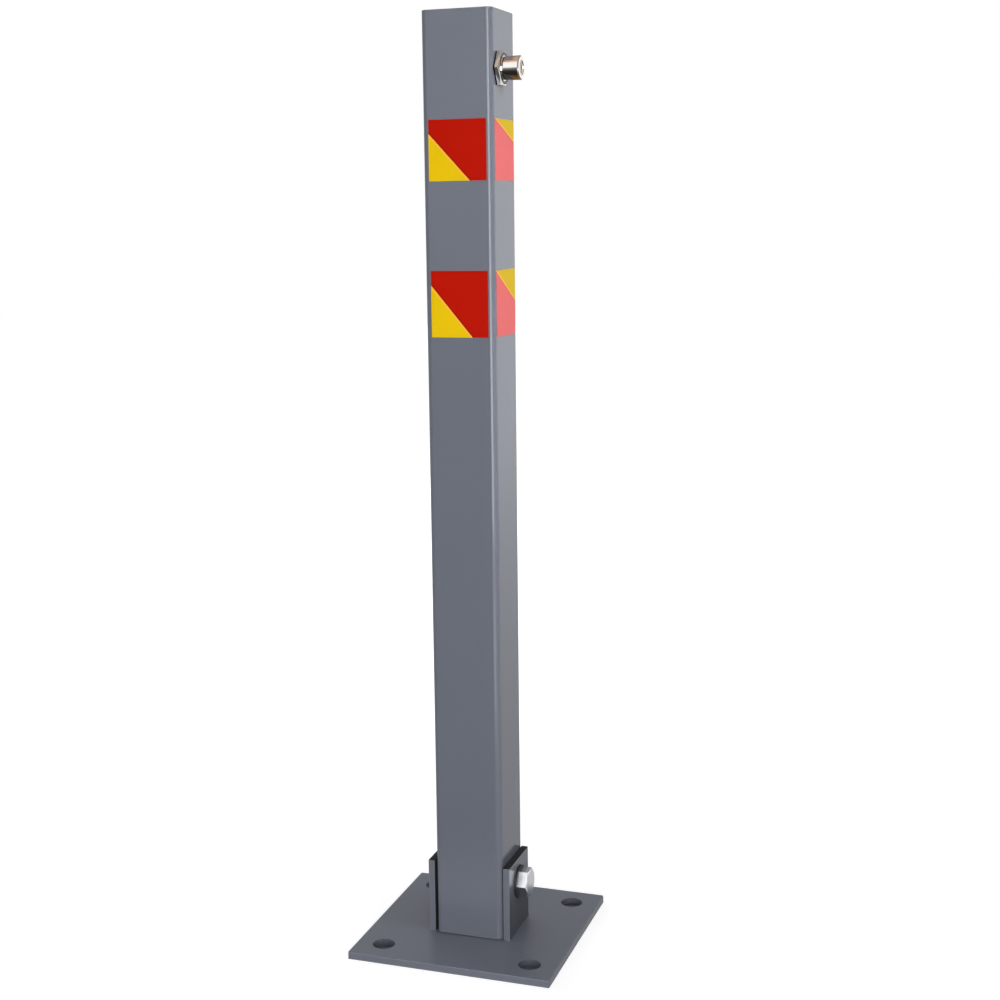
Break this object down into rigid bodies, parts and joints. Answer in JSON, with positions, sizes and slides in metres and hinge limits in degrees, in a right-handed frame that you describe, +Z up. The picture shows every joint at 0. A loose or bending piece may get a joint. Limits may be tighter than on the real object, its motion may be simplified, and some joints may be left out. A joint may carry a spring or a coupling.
{
  "type": "parking bollard",
  "caption": "Fold-down parking post: square tube hinged between ears on a bolted base plate, with a key lock cylinder near the top and red and yellow reflective bands.",
  "frame": {"origin": "centre of the base plate's underside", "axes": "+Z up along the post, -Y to the front face, +X to the side with the lock"},
  "size_m": [0.15, 0.15, 0.659],
  "materials": {
    "grey_paint": "glossy grey powder coat",
    "red_film": "reflective film, red with a yellow corner",
    "pale_red_film": "reflective film, pale red with a yellow corner",
    "zinc_steel": "bright zinc plate",
    "nickel_plate": "polished nickel plate",
    "dark_washer": "black",
    "bare_steel": "plain steel"
  },
  "bodies": {
    "base": {"base_plate": "grey_paint", "left_ear": "grey_paint", "right_ear": "grey_paint", "pivot_bolt": "zinc_steel", "pivot_washer": "dark_washer", "pivot_nut": "zinc_steel"},
    "post": {"post_tube": "grey_paint", "top_cap": "grey_paint", "upper_film_front": "red_film", "upper_film_back": "red_film", "lower_film_front": "red_film", "lower_film_back": "red_film", "upper_film_right": "pale_red_film", "upper_film_left": "pale_red_film", "lower_film_right": "pale_red_film", "lower_film_left": "pale_red_film", "lock_body": "nickel_plate", "lock_washer": "bare_steel", "lock_nut": "bare_steel", "upper_rod_guide": "bare_steel", "lower_rod_guide": "bare_steel"},
    "lock_plug": {"key_plug": "nickel_plate", "cam_arm": "bare_steel", "cam_screw": "bare_steel", "cam_pin": "bare_steel"},
    "lock_rod": {"lock_rod": "bare_steel", "rod_yoke": "bare_steel"}
  },
  "joints": [
    {"name": "post_fold", "type": "hinge", "parent": "base", "child": "post", "pos_m": [0, 0, 0.0415], "axis": [-1, 0, 0], "range_deg": [0, 90]},
    {"name": "key_turn", "type": "hinge", "parent": "post", "child": "lock_plug", "pos_m": [0.025, -0.01, 0.62], "axis": [-1, 0, 0], "range_deg": [0, 90]},
    {"name": "rod_slide", "type": "slide", "parent": "post", "child": "lock_rod", "axis": [0, 0, -1], "range_m": [0, 0.012]}
  ],
  "couplings": [
    {"joint": "key_turn", "follows": "rod_slide", "rad_per_m": 130.9}
  ]
}
